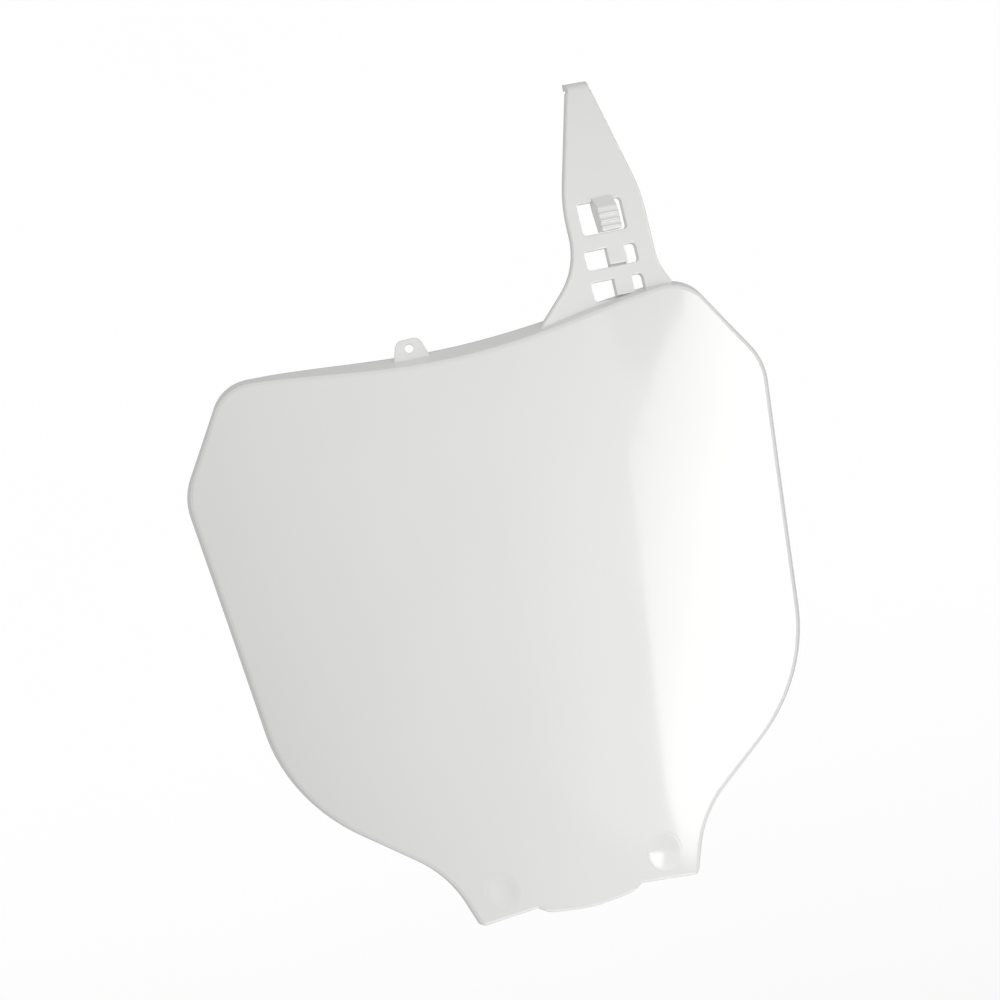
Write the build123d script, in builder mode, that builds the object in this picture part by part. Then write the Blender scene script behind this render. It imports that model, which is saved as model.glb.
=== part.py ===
from build123d import *
from math import asin, cos, degrees, sin, sqrt
import os

# A front number board moulded as one piece: a bowed shield with a turned-back rim, a fastening
# strap with three windows rising from the right of its top edge, and an eyelet beside it.
# X runs to the viewer's right, Y to the back and Z up. The origin lies midway between the ends
# of the two screw bosses behind the lower corners. In the sizes below, heights are taken from
# the lowest edge of the board and depths from the front of its crown.

# Fixing behind the lower corners, with a dimple in front of each boss
fixing_half = 32.0
fixing_height = 14.3
fixing_depth = 22.0
boss_diameter = 11.0
screw_diameter = 5.0
screw_depth = 9.5
dimple_radius = 40.0
dimple_depth = 0.8

# Face: part of a cone with an upright front line that is slightly bowed
wall = 2.2
low_radius = 150.0
high_radius = 250.0
cone_height = 240.0
bow_radius = 1500.0
bow_height = 130.0

# Corners of the half outline in the plane of the crown
top_half, top_height = 91.0, 226.0
wide_half, wide_drop = 110.8, 36.5
lower_half, lower_height = 98.0, 66.0
neck_half, neck_height = 49.3, 26.0
foot_half, foot_height = 41.7, 3.5
notch_half, notch_height = 20.8, 5.7
tongue_half, tongue_height = 16.6, 3.0
tongue_middle = 1.0
top_dip = 8.8

# Growth of the outline for each millimetre of depth
middle_flare = 0.59
top_flare = 0.19
shoulder_flare = 0.10
side_flare = 0.21
neck_flare = 0.12
foot_flare = 0.10

# Corner radii of the outline
top_radius = 20.0
wide_radius = 26.0
lower_radius = 72.0
neck_radius = 45.0
foot_radius = 2.0
notch_radius = 1.0
tongue_radius = 10.0
middle_radius = 60.0

# Rim
rim_depth = 8.0
rim_reach = 60.0
crease_ahead = 1.2
crease_aside = 0.6

# Strap, with heights above its root
strap_x = 68.6
strap_thickness = 2.4
strap_inset = 0.3
strap_edge = 0.6
root_drop = 7.0
left_root = 42.0
left_waist = 24.0
left_radius = 29.0
right_root = 27.0
right_waist = 19.0
right_radius = 20.0
belly_half = 16.9
belly_rise = 24.8
belly_radius = 60.0
tip_half = 5.2
tip_shift = 0.6
tip_length = 43.0

# Hook at the tip of the strap
hook_bend = 2.6
hook_lip = 0.6

# Two windows, each with a bar and a groove under the bar
window_shift = -2.1
window_width = 22.4
window_height = 7.6
window_rise = 9.1
window_pitch = 12.4
window_corner = 1.6
bar_shift = 0.4
bar_width = 7.6
bar_root = 0.5
groove_width = 0.8
groove_depth = 1.6

# Window with a ribbed tongue that hangs in it
latch_width = 19.2
latch_height = 12.6
latch_gap = 1.3
pawl_shift = -0.6
pawl_width = 8.4
pawl_thickness = 4.4
pawl_rise = 3.5
pawl_ramp = 4.5
pawl_root = 1.5
pawl_gap = 0.35
rib_count = 3
rib_pitch = 2.6
rib_width = 1.0

# Eyelet
eyelet_x = -19.0
eyelet_hole = 3.4
eyelet_rise = 0.8
eyelet_thickness = 2.6
eyelet_base = 17.8
eyelet_length = 13.3
eyelet_slope = 72.0
eyelet_corner = 3.4

# Heights that follow from the sizes above
wide_height = top_height - wide_drop
top_middle = top_height - top_dip
root_height = top_height - root_drop
belly_height = root_height + left_waist + belly_rise
strap_top = belly_height + tip_length
window_low = root_height + window_rise
latch_low = window_low + 2 * window_pitch + latch_gap
latch_high = latch_low + latch_height
eyelet_height = top_height + eyelet_rise

crown = Vector(0, -fixing_depth, -fixing_height)
front = Plane(origin=crown, x_dir=(1, 0, 0), z_dir=(0, -1, 0))
side = Plane(origin=crown, x_dir=(0, 1, 0), z_dir=(1, 0, 0))
cone_axis = Axis(crown + Vector(0, low_radius, 0), Vector(0, high_radius - low_radius, cone_height))


def layer_bow(height):
    # how far the bow of the front line sets the face back at a height
    return (height - bow_height) ** 2 / (2 * bow_radius)


def layer_radius(height, layer):
    # level radius of a layer of the face, counted back from its front
    cone_radius = low_radius + (high_radius - low_radius) * height / cone_height
    return cone_radius - layer - layer_bow(height)


def layer_depth(x, height, layer):
    # depth at which a layer of the face passes a point of the outline
    radius = layer_radius(height, layer)
    return layer + layer_bow(height) + radius - sqrt(radius**2 - x**2)


def outline(depth, inset):
    # outline of the board at a depth, both halves alike
    half = [
        (top_half + depth * shoulder_flare, top_height + depth * top_flare),
        (wide_half + depth * side_flare, wide_height + depth * side_flare / 4),
        (lower_half + depth * side_flare, lower_height - depth * side_flare / 3),
        (neck_half + depth * neck_flare, neck_height - depth * neck_flare),
        (foot_half + depth * neck_flare, foot_height - depth * foot_flare),
        (notch_half, notch_height - depth * foot_flare),
        (tongue_half, tongue_height - depth * foot_flare),
    ]
    middle = (0, tongue_middle - depth * foot_flare)
    radii = [wide_radius, lower_radius, neck_radius, foot_radius, notch_radius, tongue_radius]
    other_half = [(-x, height) for x, height in reversed(half)]
    with BuildSketch(front.offset(-depth)) as shape:
        with BuildLine():
            FilletPolyline(half + [middle] + other_half, radius=radii + [middle_radius] + radii[::-1])
            ThreePointArc(other_half[-1], (0, top_middle + depth * middle_flare), half[0])
        make_face()
        fillet(shape.vertices().sort_by(Axis.Y)[-2:], top_radius)
        if inset:
            offset(amount=-inset, mode=Mode.REPLACE)
    return shape.sketch


def face_layer(near, far):
    # section of a layer of the face between two distances behind its front, to turn from the back
    span = degrees(asin(cone_height / bow_radius))
    with BuildSketch(side) as section:
        with BuildLine():
            outer = CenterArc((bow_radius, bow_height), bow_radius - near, 180 - span, 2 * span)
            inner = CenterArc((bow_radius, bow_height), bow_radius - far, 180 - span, 2 * span)
            Line(outer @ 0, inner @ 0)
            Line(outer @ 1, inner @ 1)
        make_face()
    return section.sketch.rotate(cone_axis, 180)


# Space behind the face, inside the rim
with BuildPart() as hollow:
    loft([outline(0, wall), outline(rim_reach, wall)], ruled=True)
    revolve(face_layer(wall, rim_depth + wall), cone_axis, mode=Mode.INTERSECT)

# Strap, flat and turned to follow the rim where it stands
strap_depth = layer_depth(strap_x, top_height, rim_depth) - strap_thickness - strap_inset
strap_turn = asin(strap_x / layer_radius(top_height, rim_depth))
strap_origin = crown + Vector(strap_x, strap_depth, 0)
strap_right = Vector(cos(strap_turn), sin(strap_turn), 0)
strap_ahead = Vector(sin(strap_turn), -cos(strap_turn), 0)
strap_front = Plane(origin=strap_origin, x_dir=strap_right, z_dir=strap_ahead)
strap_side = Plane(origin=strap_origin, x_dir=strap_ahead, z_dir=-strap_right)
strap_middle = -strap_thickness / 2

with BuildPart() as strap:
    with BuildSketch(strap_front):
        with BuildLine():
            FilletPolyline(
                (tip_shift + tip_half, strap_top),
                (belly_half, belly_height),
                (belly_half, root_height + right_waist),
                (right_root, root_height),
                (-left_root, root_height),
                (-belly_half, root_height + left_waist),
                (-belly_half, belly_height),
                (tip_shift - tip_half, strap_top),
                radius=[0, belly_radius, right_radius, 0, 0, left_radius, belly_radius, 0],
                close=True,
            )
        make_face()
    extrude(amount=-strap_thickness)
    front_edges = strap.faces().sort_by(Axis(strap_origin, strap_ahead))[-1].edges().sort_by(Axis.Z)
    chamfer(front_edges[1:-1], strap_edge)

    # windows
    with BuildSketch(strap_front):
        for level in range(2):
            with Locations((window_shift, window_low + level * window_pitch + window_height / 2)):
                RectangleRounded(window_width, window_height, window_corner)
        with Locations((window_shift, latch_low + latch_height / 2)):
            RectangleRounded(latch_width, latch_height, window_corner)
    extrude(amount=-strap_thickness, mode=Mode.SUBTRACT)

    # bars across the two lower windows
    for level in range(2):
        low = window_low + level * window_pitch
        high = low + window_height
        with BuildSketch(strap_side.offset(-bar_shift)):
            with BuildLine():
                Polyline(
                    (-strap_thickness, high + bar_root),
                    (0, high + bar_root),
                    (0, low + groove_width),
                    (-groove_depth, low + groove_width),
                    (-groove_depth, low - bar_root),
                    (-strap_thickness, low - bar_root),
                    close=True,
                )
            make_face()
        extrude(amount=bar_width / 2, both=True)

    # ribbed tongue in the upper window
    with BuildSketch(strap_side.offset(-pawl_shift)):
        with BuildLine():
            Polyline(
                (-strap_thickness, latch_high + pawl_root),
                (0, latch_high + pawl_root),
                (pawl_rise, latch_high + pawl_root - pawl_ramp),
                (pawl_rise, latch_low + pawl_gap),
                (pawl_rise - pawl_thickness, latch_low + pawl_gap),
                (-strap_thickness, latch_high + pawl_root - pawl_ramp),
                close=True,
            )
        make_face()
        for rib in range(rib_count):
            with Locations((pawl_rise, latch_low + pawl_gap + rib_pitch * (rib + 0.5))):
                Circle(rib_width / 2)
    extrude(amount=pawl_width / 2, both=True)

    # hook turned back at the tip
    with BuildSketch(strap_side.offset(-tip_shift)):
        with BuildLine():
            FilletPolyline(
                (strap_middle, strap_top - strap_edge),
                (strap_middle, strap_top + hook_bend),
                (strap_middle - hook_bend - hook_lip, strap_top + hook_bend),
                radius=hook_bend,
            )
        trace(line_width=strap_thickness)
    extrude(amount=tip_half - strap_edge, both=True)

# Screw bosses, grown from the middle of the wall
with BuildPart() as bosses:
    with BuildSketch(Plane.XZ):
        with GridLocations(2 * fixing_half, 0, 2, 1):
            Circle(boss_diameter / 2)
    extrude(amount=fixing_depth)
    revolve(face_layer(wall / 2, 2 * fixing_depth), cone_axis, mode=Mode.INTERSECT)

# Centres of the balls that press the dimples, square to the face
dimple_turn = asin(fixing_half / layer_radius(fixing_height, 0))
dimple_reach = dimple_radius - dimple_depth
dimple_x = fixing_half + dimple_reach * sin(dimple_turn)
dimple_y = layer_depth(fixing_half, fixing_height, 0) - fixing_depth - dimple_reach * cos(dimple_turn)
dimple_z = dimple_reach * (fixing_height - bow_height) / bow_radius
eyelet_depth = layer_depth(eyelet_x, top_middle, rim_depth) - eyelet_thickness - strap_inset

with BuildPart() as board:
    loft([outline(0, 0), outline(rim_reach, 0)], ruled=True)
    revolve(face_layer(0, rim_depth), cone_axis, mode=Mode.INTERSECT)
    split(bisect_by=Plane.YZ, keep=Keep.BOTTOM)
    face = board.faces().sort_by(SortBy.AREA)[-2:].sort_by(Axis.Y)[0]
    crease = face.edges().sort_by(Axis.X)[:-1]
    chamfer(crease, crease_ahead, crease_aside, reference=face)
    mirror(about=Plane.YZ)
    with BuildSketch(front.offset(-eyelet_depth)) as lug:
        with Locations((eyelet_x, top_middle)):
            Trapezoid(eyelet_base, eyelet_length, eyelet_slope, align=(Align.CENTER, Align.MIN))
        fillet(lug.vertices().sort_by(Axis.Y)[-2:], eyelet_corner)
    extrude(amount=-eyelet_thickness)
    add(strap.part)
    add(hollow.part, mode=Mode.SUBTRACT)
    add(bosses.part)
    with BuildSketch(front.offset(-eyelet_depth)):
        with Locations((eyelet_x, eyelet_height)):
            Circle(eyelet_hole / 2)
    extrude(amount=-eyelet_thickness, mode=Mode.SUBTRACT)
    with BuildSketch(Plane.XZ):
        with GridLocations(2 * fixing_half, 0, 2, 1):
            Circle(screw_diameter / 2)
    extrude(amount=screw_depth, mode=Mode.SUBTRACT)
    with Locations((dimple_x, dimple_y, dimple_z), (-dimple_x, dimple_y, dimple_z)):
        Sphere(dimple_radius, mode=Mode.SUBTRACT)

os.makedirs("parts", exist_ok=True)
board.part.label = "number_board"
export_step(board.part, "parts/number_board.step")
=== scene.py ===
import math
import bmesh
import bpy
from mathutils import Matrix, Vector

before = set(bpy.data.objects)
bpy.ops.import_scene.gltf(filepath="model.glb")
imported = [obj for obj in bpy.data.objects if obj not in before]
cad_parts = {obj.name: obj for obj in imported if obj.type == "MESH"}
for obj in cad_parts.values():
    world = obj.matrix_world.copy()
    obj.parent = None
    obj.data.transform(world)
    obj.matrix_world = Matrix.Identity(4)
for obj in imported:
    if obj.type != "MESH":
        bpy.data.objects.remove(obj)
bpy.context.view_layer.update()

scene = bpy.context.scene
mm = 1000    # millimetres in a metre
print("frame loaded:", ", ".join(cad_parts))


def hexToLinear(code):
    # sRGB hex to the linear values the shader works in
    out = []
    for i in (0, 2, 4):
        c = int(code[i:i + 2], 16) / 255
        out.append(c / 12.92 if c <= 0.04045 else ((c + 0.055) / 1.055) ** 2.4)
    return (out[0], out[1], out[2], 1.0)


def addNode(tree, kind, settings=None, values=None, links=None):
    # one node with its settings, its socket values and what comes into it
    node = tree.nodes.new(kind)
    for key, value in (settings or {}).items():
        setattr(node, key, value)
    for key, value in (values or {}).items():
        node.inputs[key].default_value = value
    for key, source in (links or {}).items():
        tree.links.new(source, node.inputs[key])
    return node


def newTree(name):
    mat = bpy.data.materials.new(name)
    mat.use_nodes = True
    mat.node_tree.nodes.clear()
    return mat, mat.node_tree


whiteLight = hexToLinear("ffffff")


# the board: one moulding in white plastic, sizes in metres
boardLook = {
    "colour": "e8e8e6",        # neutral white masterbatch
    "ior": 1.49,               # polypropylene
    "roughness": 0.11,         # polished tool, slightly soft reflections
    "roughnessSpread": 0.02,   # the clouds are this much glossier or duller
    "cloudSize": 0.05,         # slow change of gloss and tone over the face
    "cloudRange": (0.3, 0.7),
    "cloudShade": 0.985,       # tone of the darker clouds
    "edgeRadius": 0.0008,      # moulded edges are never knife sharp
    "edgeSamples": 8,
    "dimple": (0.032, 0.0141, 0.0),            # middle of the dimples, either side
    "dimpleReach": (0.0071, 0.0071, 0.0079),   # from there to their rims
    "dimpleDepth": 0.0008,     # as deep as the solid has them, only the rim runs out softly
    "dimpleMargin": (1.1, 1.5),    # where edges start to be rounded again, in reaches squared
    "peelSize": 0.006,         # flow ripple of the skin, about 6 mm across
    "peelHeight": 0.000004,    # and a few microns high
    "waveSize": 0.045,         # slow sink of the face as it cooled
    "waveHeight": 0.00006,
}


def softEdges(tree, coord, look):
    # rounds every edge, and lets the rims of the two dimples run out into the face
    folded = addNode(tree, "ShaderNodeVectorMath", {"operation": "ABSOLUTE"}, None,
                     {0: coord.outputs["Object"]})
    away = addNode(tree, "ShaderNodeVectorMath", {"operation": "SUBTRACT"}, {1: look["dimple"]},
                   {0: folded.outputs["Vector"]})
    scaled = addNode(tree, "ShaderNodeVectorMath", {"operation": "DIVIDE"}, {1: look["dimpleReach"]},
                     {0: away.outputs["Vector"]})
    square = addNode(tree, "ShaderNodeVectorMath", {"operation": "DOT_PRODUCT"}, None,
                     {0: scaled.outputs["Vector"], 1: scaled.outputs["Vector"]})
    bowl = addNode(tree, "ShaderNodeMapRange", None, {"To Min": 1.0, "To Max": 0.0},
                   {"Value": square.outputs["Value"]})
    rest = addNode(tree, "ShaderNodeMath", {"operation": "SUBTRACT"}, {0: 1.0},
                   {1: bowl.outputs["Result"]})
    fill = addNode(tree, "ShaderNodeMath", {"operation": "MULTIPLY"}, None,
                   {0: bowl.outputs["Result"], 1: rest.outputs["Value"]})
    # the wall behind the dimples stays as it is
    facing = addNode(tree, "ShaderNodeSeparateXYZ", None, None, {0: coord.outputs["Normal"]})
    front = addNode(tree, "ShaderNodeMath", {"operation": "LESS_THAN"}, {1: 0.0},
                    {0: facing.outputs["Y"]})
    frontFill = addNode(tree, "ShaderNodeMath", {"operation": "MULTIPLY"}, None,
                        {0: fill.outputs["Value"], 1: front.outputs["Value"]})
    rounding = addNode(tree, "ShaderNodeMapRange", None,
                       {"From Min": look["dimpleMargin"][0], "From Max": look["dimpleMargin"][1],
                        "To Max": look["edgeRadius"]},
                       {"Value": square.outputs["Value"]})
    edge = addNode(tree, "ShaderNodeBevel", {"samples": look["edgeSamples"]}, None,
                   {"Radius": rounding.outputs["Result"]})
    return addNode(tree, "ShaderNodeBump", None,
                   {"Strength": 1.0, "Distance": look["dimpleDepth"]},
                   {"Height": frontFill.outputs["Value"], "Normal": edge.outputs["Normal"]})


def makePolypropylene(look):
    # polypropylene, injection moulded, gloss: clean highlight with a faintly wavy edge, milky body
    mat, tree = newTree("polypropylene, injection moulded, gloss")
    coord = addNode(tree, "ShaderNodeTexCoord")
    low, high = look["cloudRange"]
    cloud = addNode(tree, "ShaderNodeTexNoise", None,
                    {"Scale": 1 / look["cloudSize"], "Detail": 2.0, "Roughness": 0.5},
                    {"Vector": coord.outputs["Object"]})
    gloss = addNode(tree, "ShaderNodeMapRange", None,
                    {"From Min": low, "From Max": high,
                     "To Min": look["roughness"] - look["roughnessSpread"],
                     "To Max": look["roughness"] + look["roughnessSpread"]},
                    {"Value": cloud.outputs["Fac"]})
    tint = addNode(tree, "ShaderNodeValToRGB", None, None, {"Fac": cloud.outputs["Fac"]})
    base = hexToLinear(look["colour"])
    dark, pale = tint.color_ramp.elements
    dark.position = low
    dark.color = tuple(c * look["cloudShade"] for c in base[:3]) + (1.0,)
    pale.position = high
    pale.color = base
    ripple = addNode(tree, "ShaderNodeTexNoise", None,
                     {"Scale": 1 / look["peelSize"], "Detail": 1.0, "Roughness": 0.4},
                     {"Vector": coord.outputs["Object"]})
    sink = addNode(tree, "ShaderNodeTexNoise", None,
                   {"Scale": 1 / look["waveSize"], "Detail": 0.0},
                   {"Vector": coord.outputs["Object"]})
    soft = softEdges(tree, coord, look)
    wave = addNode(tree, "ShaderNodeBump", None,
                   {"Strength": 1.0, "Distance": look["waveHeight"]},
                   {"Height": sink.outputs["Fac"], "Normal": soft.outputs["Normal"]})
    peel = addNode(tree, "ShaderNodeBump", None,
                   {"Strength": 1.0, "Distance": look["peelHeight"]},
                   {"Height": ripple.outputs["Fac"], "Normal": wave.outputs["Normal"]})
    skin = addNode(tree, "ShaderNodeBsdfPrincipled", None,
                   {"IOR": look["ior"]},
                   {"Base Color": tint.outputs["Color"], "Roughness": gloss.outputs["Result"],
                    "Normal": peel.outputs["Normal"]})
    addNode(tree, "ShaderNodeOutputMaterial", None, None, {"Surface": skin.outputs["BSDF"]})
    return mat


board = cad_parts["number_board"]
board.data.materials.clear()
board.data.materials.append(makePolypropylene(boardLook))
print("board: plastic set")


# floor sweeping up into the back wall
sweep = {
    "floor": -0.40, "front": -1.6, "back": 1.25, "curve": 0.40, "top": 1.7, "half": 2.2,
    "steps": 16,               # along the curve
    "colour": "8a8a8a", "roughness": 0.9, "specular": 0.1,
    "glow": 0.76, "glowSpread": 0.005,
    "toneSize": 1 / 3,         # slow change of tone in the paper, a third of a metre
}


def makePaper(size):
    # seamless paper, matt, lit so evenly that it reads almost white
    mat, tree = newTree("seamless paper, matt white")
    coord = addNode(tree, "ShaderNodeTexCoord")
    fibre = addNode(tree, "ShaderNodeTexNoise", None, {"Scale": 1 / size["toneSize"], "Detail": 3.0},
                    {"Vector": coord.outputs["Object"]})
    tone = addNode(tree, "ShaderNodeMapRange", None,
                   {"To Min": size["glow"] * (1 - size["glowSpread"]),
                    "To Max": size["glow"] * (1 + size["glowSpread"])},
                   {"Value": fibre.outputs["Fac"]})
    paper = addNode(tree, "ShaderNodeBsdfPrincipled", None,
                    {"Base Color": hexToLinear(size["colour"]), "Roughness": size["roughness"],
                     "Specular IOR Level": size["specular"], "Emission Color": whiteLight},
                    {"Emission Strength": tone.outputs["Result"]})
    addNode(tree, "ShaderNodeOutputMaterial", None, None, {"Surface": paper.outputs["BSDF"]})
    return mat


def makeSweep(size):
    line = [(size["front"], size["floor"])]
    centreY = size["back"] - size["curve"]
    centreZ = size["floor"] + size["curve"]
    for i in range(size["steps"] + 1):
        turn = math.pi / 2 * i / size["steps"]
        line.append((centreY + size["curve"] * math.sin(turn), centreZ - size["curve"] * math.cos(turn)))
    line.append((size["back"], size["top"]))
    verts = []
    faces = []
    for y, z in line:
        verts.append((-size["half"], y, z))
        verts.append((size["half"], y, z))
    for i in range(len(line) - 1):
        first = 2 * i
        faces.append((first, first + 1, first + 3, first + 2))
    mesh = bpy.data.meshes.new("studio_sweep")
    mesh.from_pydata(verts, [], faces)
    for poly in mesh.polygons:
        poly.use_smooth = True
    mesh.materials.append(makePaper(size))
    obj = bpy.data.objects.new("studio_sweep", mesh)
    scene.collection.objects.link(obj)
    return obj


def onlySeen(obj):
    # shown to the camera, but neither lights nor shades the board
    obj.visible_diffuse = False
    obj.visible_glossy = False
    obj.visible_transmission = False
    obj.visible_shadow = False
    return obj


onlySeen(makeSweep(sweep))


# pale surround beyond the sweep, for the other views
surround = {"radius": 6.0, "glow": 0.93, "segments": 32, "rings": 16}


def makeSurround(size):
    mesh = bpy.data.meshes.new("studio_surround")
    shape = bmesh.new()
    bmesh.ops.create_uvsphere(shape, u_segments=size["segments"], v_segments=size["rings"],
                              radius=size["radius"])
    shape.to_mesh(mesh)
    shape.free()
    obj = bpy.data.objects.new("studio_surround", mesh)
    scene.collection.objects.link(obj)
    # studio wall, painted, evenly lit: a pale ground with nothing on it
    mat, tree = newTree("studio wall, painted pale")
    glow = addNode(tree, "ShaderNodeEmission", None, {"Color": whiteLight, "Strength": size["glow"]})
    addNode(tree, "ShaderNodeOutputMaterial", None, None, {"Surface": glow.outputs["Emission"]})
    mesh.materials.append(mat)
    return obj


onlySeen(makeSurround(surround))
print("floor and walls set")


# room light: broad and soft from the front, a little stronger from the right, dim behind
room = {
    "level": 0.542,
    "slope": (0.24, -0.57, -0.09),    # how it grows to the right, to the back and upwards
    "least": 0.50,                    # it is nowhere dimmer
}


def makeRoom(light):
    world = bpy.data.worlds.new("studio_room")
    scene.world = world
    world.use_nodes = True
    tree = world.node_tree
    tree.nodes.clear()
    coord = addNode(tree, "ShaderNodeTexCoord")
    along = addNode(tree, "ShaderNodeVectorMath", {"operation": "DOT_PRODUCT"},
                    {1: light["slope"]}, {0: coord.outputs["Generated"]})
    level = addNode(tree, "ShaderNodeMath", {"operation": "ADD"},
                    {1: light["level"]}, {0: along.outputs["Value"]})
    floorLevel = addNode(tree, "ShaderNodeMath", {"operation": "MAXIMUM"},
                         {1: light["least"]}, {0: level.outputs["Value"]})
    sky = addNode(tree, "ShaderNodeBackground", None, {"Color": whiteLight},
                  {"Strength": floorLevel.outputs["Value"]})
    addNode(tree, "ShaderNodeOutputWorld", None, None, {"Surface": sky.outputs["Background"]})


makeRoom(room)


# panels: azimuth from the front to the right, outlines in millimetres on the panel's own plane

# large softbox on the right, its left edge draws the bright area's edge on the face
softbox = {
    "aim": (0.0, -0.010, 0.110), "azimuth": 50.0, "elevation": -6.0, "distance": 1.0,
    "outline": [(-260, 92), (-272, -11), (-289, -115), (-297, -206), (-303, -272), (-250, -327),
                (-215, -350), (700, -350), (700, 520), (260, 520), (110, 319), (-8, 287), (-95, 250),
                (-247, 175)],
    "fadeAlong": (0.8, -0.9, 0.0),    # dimmer towards its upper left
    "fade": (-0.36, 0.06),
    "edgeGlow": 3.7, "glow": 6.9,
}

# what spills past the softbox's left edge, just behind it
spill = {
    "aim": softbox["aim"], "azimuth": softbox["azimuth"], "elevation": softbox["elevation"],
    "distance": 1.01,
    "outline": [(-1700, -345), (-240, -345), (-240, 130), (-110, 255), (-190, 290), (-260, 430),
                (-1700, 430)],
    "fadeAlong": (1.0, -0.8, 0.0),    # dimmer away from the softbox
    "fade": (-1.25, -0.50),
    "edgeGlow": 1.1, "glow": 2.05,
}

# white card below, it lights the turned lower edge
card = {
    "aim": (0.0, -0.015, 0.0), "azimuth": 5.0, "elevation": -80.0, "distance": 0.8,
    "outline": [(-450, -170), (450, -170), (450, 170), (-450, 170)],
    "fadeAlong": (1.0, 0.0, 0.0),     # a little brighter on the right
    "fade": (-0.45, 0.45),
    "edgeGlow": 3.2, "glow": 4.0,
}

# black flag over the strap, it keeps some of the room's light off
flag = {
    "aim": (0.069, -0.005, 0.245), "azimuth": 17.0, "elevation": 46.0, "distance": 0.15,
    "outline": [(-42, -38), (42, -38), (42, 38), (-42, 38)],
    "shades": True,
}


def makeDiffuser(box):
    # diffuser cloth, woven, lit from behind: an even glow that fades towards one side
    mat, tree = newTree("diffuser cloth, woven, lit from behind")
    coord = addNode(tree, "ShaderNodeTexCoord")
    along = addNode(tree, "ShaderNodeVectorMath", {"operation": "DOT_PRODUCT"},
                    {1: box["fadeAlong"]}, {0: coord.outputs["Object"]})
    level = addNode(tree, "ShaderNodeMapRange", None,
                    {"From Min": box["fade"][0], "From Max": box["fade"][1],
                     "To Min": box["edgeGlow"], "To Max": box["glow"]},
                    {"Value": along.outputs["Value"]})
    glow = addNode(tree, "ShaderNodeEmission", None, {"Color": whiteLight},
                   {"Strength": level.outputs["Result"]})
    addNode(tree, "ShaderNodeOutputMaterial", None, None, {"Surface": glow.outputs["Emission"]})
    return mat


def makeBlackCloth():
    # flag cloth, woven, dyed black: gives no light back
    mat, tree = newTree("flag cloth, woven, black")
    dark = addNode(tree, "ShaderNodeEmission", None, {"Strength": 0.0})
    addNode(tree, "ShaderNodeOutputMaterial", None, None, {"Surface": dark.outputs["Emission"]})
    return mat


def makePanel(name, box):
    azimuth = math.radians(box["azimuth"])
    elevation = math.radians(box["elevation"])
    out = Vector((math.sin(azimuth) * math.cos(elevation), -math.cos(azimuth) * math.cos(elevation),
                  math.sin(elevation)))
    side = Vector((0, 0, 1)).cross(out).normalized()
    up = out.cross(side)
    centre = Vector(box["aim"]) + out * box["distance"]
    shades = box.get("shades", False)    # a flag shades, the others are only mirrored
    mesh = bpy.data.meshes.new(name)
    mesh.from_pydata([(u / mm, v / mm, 0.0) for u, v in box["outline"]], [],
                     [tuple(range(len(box["outline"])))])
    mesh.materials.append(makeBlackCloth() if shades else makeDiffuser(box))
    obj = bpy.data.objects.new(name, mesh)
    scene.collection.objects.link(obj)
    obj.matrix_world = Matrix((
        (side.x, up.x, out.x, centre.x),
        (side.y, up.y, out.y, centre.y),
        (side.z, up.z, out.z, centre.z),
        (0.0, 0.0, 0.0, 1.0)))
    obj.visible_camera = False
    obj.visible_glossy = not shades
    obj.visible_diffuse = shades
    obj.visible_shadow = shades
    return obj


makePanel("softbox_right", softbox)
makePanel("softbox_spill", spill)
makePanel("card_low", card)
makePanel("flag_strap", flag)
print("panels set")


# lamp behind, a little above and to the right, so that only the back is lit
lamp = {"towards": (-0.25, -0.94, -0.22), "power": 1.3, "spread": 10.0}


def makeLamp(setup):
    light = bpy.data.lights.new("lamp_back", "SUN")
    light.energy = setup["power"]
    light.angle = math.radians(setup["spread"])
    obj = bpy.data.objects.new("lamp_back", light)
    scene.collection.objects.link(obj)
    obj.rotation_euler = Vector(setup["towards"]).to_track_quat("-Z", "Y").to_euler()
    obj.visible_glossy = False


makeLamp(lamp)
print("light set")


# camera where the photograph was taken from, yaw and roll in degrees
shot = {
    "target": (0.002, -0.002, 0.1474), "yaw": -2.0, "roll": 13.4, "distance": 0.925,
    "lens": 85.0, "sensor": 36.0, "clip": (0.05, 20.0),
}


def makeCamera(view):
    yaw = math.radians(view["yaw"])
    roll = math.radians(view["roll"])
    back = Vector((math.sin(yaw), -math.cos(yaw), 0.0))
    up = Vector((0.0, 0.0, 1.0))
    right = up.cross(back)
    imageRight = right * math.cos(roll) - up * math.sin(roll)
    imageUp = right * math.sin(roll) + up * math.cos(roll)
    cam = bpy.data.cameras.new("camera_main")
    cam.lens = view["lens"]
    cam.sensor_width = view["sensor"]
    cam.clip_start, cam.clip_end = view["clip"]
    obj = bpy.data.objects.new("camera_main", cam)
    scene.collection.objects.link(obj)
    spot = Vector(view["target"]) + back * view["distance"]
    obj.matrix_world = Matrix((
        (imageRight.x, imageUp.x, back.x, spot.x),
        (imageRight.y, imageUp.y, back.y, spot.y),
        (imageRight.z, imageUp.z, back.z, spot.z),
        (0.0, 0.0, 0.0, 1.0)))
    scene.camera = obj


makeCamera(shot)
scene.view_settings.view_transform = "Standard"
print("camera set")
